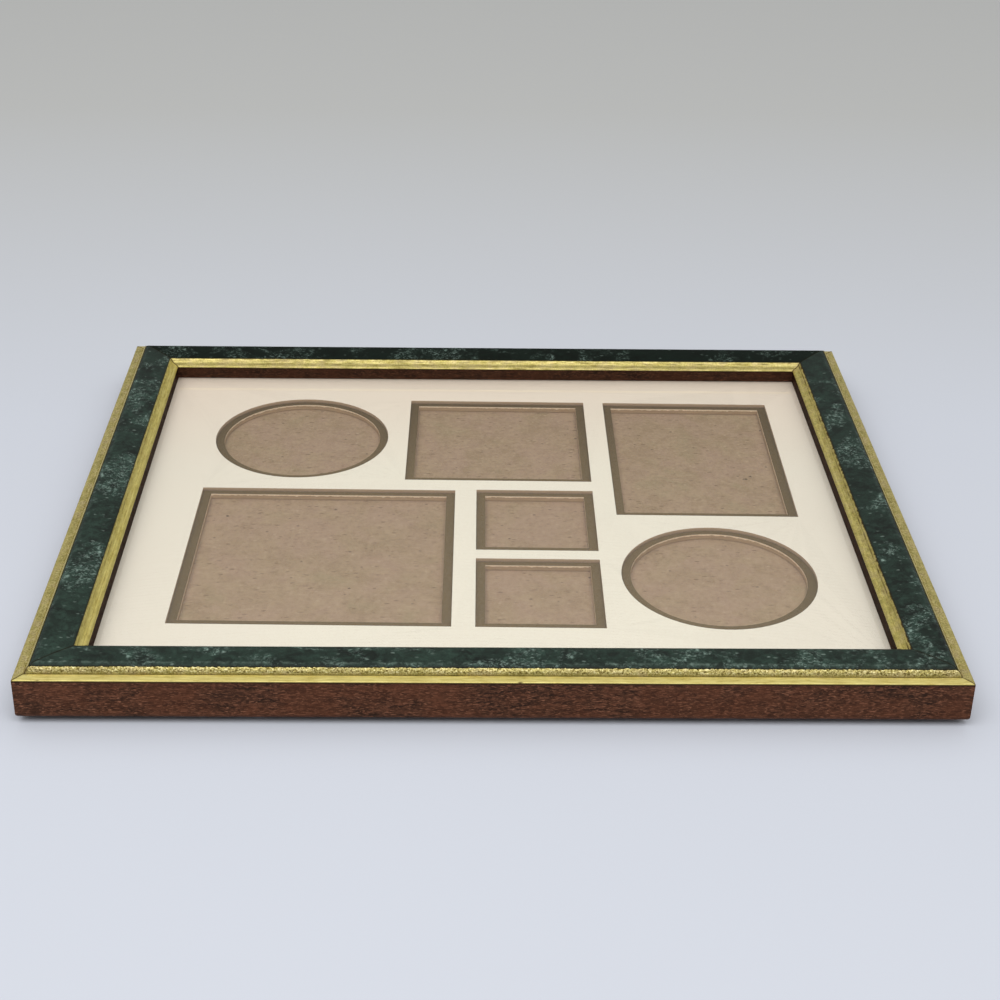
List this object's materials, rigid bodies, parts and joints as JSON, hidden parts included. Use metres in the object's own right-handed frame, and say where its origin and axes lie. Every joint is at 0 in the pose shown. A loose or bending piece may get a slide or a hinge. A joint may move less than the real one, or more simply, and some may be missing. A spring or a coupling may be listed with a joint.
{
  "type": "collage photo frame",
  "caption": "Mitred wooden picture frame with gilt edges, marbled green band, glass, a multi-opening mat and swivelling back clips.",
  "frame": {"origin": "centre of the outline, on the plane of the screw heads on which the frame lies on its back", "axes": "+X along the long side, +Y towards the top rail, +Z out of the picture side"},
  "size_m": [0.342, 0.288, 0.0219],
  "materials": {
    "mahogany_wood": "satin, stained dark",
    "gilt": "gilded, metallic sheen",
    "green_marbled": "lacquered, painted as marble",
    "picture_glass": "clear",
    "cream_mat_board": "matt paper",
    "brown_liner_card": "matt",
    "grey_chipboard": "matt, flecked",
    "zinc_steel": "zinc plated",
    "brassed_steel": "brass plated"
  },
  "bodies": {
    "frame": {"bottom_rail": "mahogany_wood", "bottom_outer_gilt": "gilt", "bottom_marbled_facing": "green_marbled", "bottom_inner_gilt": "gilt", "right_rail": "mahogany_wood", "right_outer_gilt": "gilt", "right_marbled_facing": "green_marbled", "right_inner_gilt": "gilt", "top_rail": "mahogany_wood", "top_outer_gilt": "gilt", "top_marbled_facing": "green_marbled", "top_inner_gilt": "gilt", "left_rail": "mahogany_wood", "left_outer_gilt": "gilt", "left_marbled_facing": "green_marbled", "left_inner_gilt": "gilt", "glass_pane": "picture_glass", "window_mat": "cream_mat_board", "liner_card": "brown_liner_card", "backing_board": "grey_chipboard", "turn_button_screws": "zinc_steel", "sawtooth_hanger": "brassed_steel", "hanger_nails": "zinc_steel", "corner_v_nails": "zinc_steel"},
    "turn_button_top_left": {"turn_button_top_left": "zinc_steel"},
    "turn_button_top_right": {"turn_button_top_right": "zinc_steel"},
    "turn_button_right": {"turn_button_right": "zinc_steel"},
    "turn_button_bottom_right": {"turn_button_bottom_right": "zinc_steel"},
    "turn_button_bottom_left": {"turn_button_bottom_left": "zinc_steel"},
    "turn_button_left": {"turn_button_left": "zinc_steel"}
  },
  "joints": [
    {"name": "turn_button_top_left_turn", "type": "hinge", "parent": "frame", "child": "turn_button_top_left", "pos_m": [-0.0855, 0.1355, 0.0017], "axis": [0, 0, 1], "continuous": true},
    {"name": "turn_button_top_right_turn", "type": "hinge", "parent": "frame", "child": "turn_button_top_right", "pos_m": [0.0855, 0.1355, 0.0017], "axis": [0, 0, 1], "continuous": true},
    {"name": "turn_button_right_turn", "type": "hinge", "parent": "frame", "child": "turn_button_right", "pos_m": [0.1625, 0, 0.0017], "axis": [0, 0, 1], "continuous": true},
    {"name": "turn_button_bottom_right_turn", "type": "hinge", "parent": "frame", "child": "turn_button_bottom_right", "pos_m": [0.0855, -0.1355, 0.0017], "axis": [0, 0, 1], "continuous": true},
    {"name": "turn_button_bottom_left_turn", "type": "hinge", "parent": "frame", "child": "turn_button_bottom_left", "pos_m": [-0.0855, -0.1355, 0.0017], "axis": [0, 0, 1], "continuous": true},
    {"name": "turn_button_left_turn", "type": "hinge", "parent": "frame", "child": "turn_button_left", "pos_m": [-0.1625, 0, 0.0017], "axis": [0, 0, 1], "continuous": true}
  ]
}
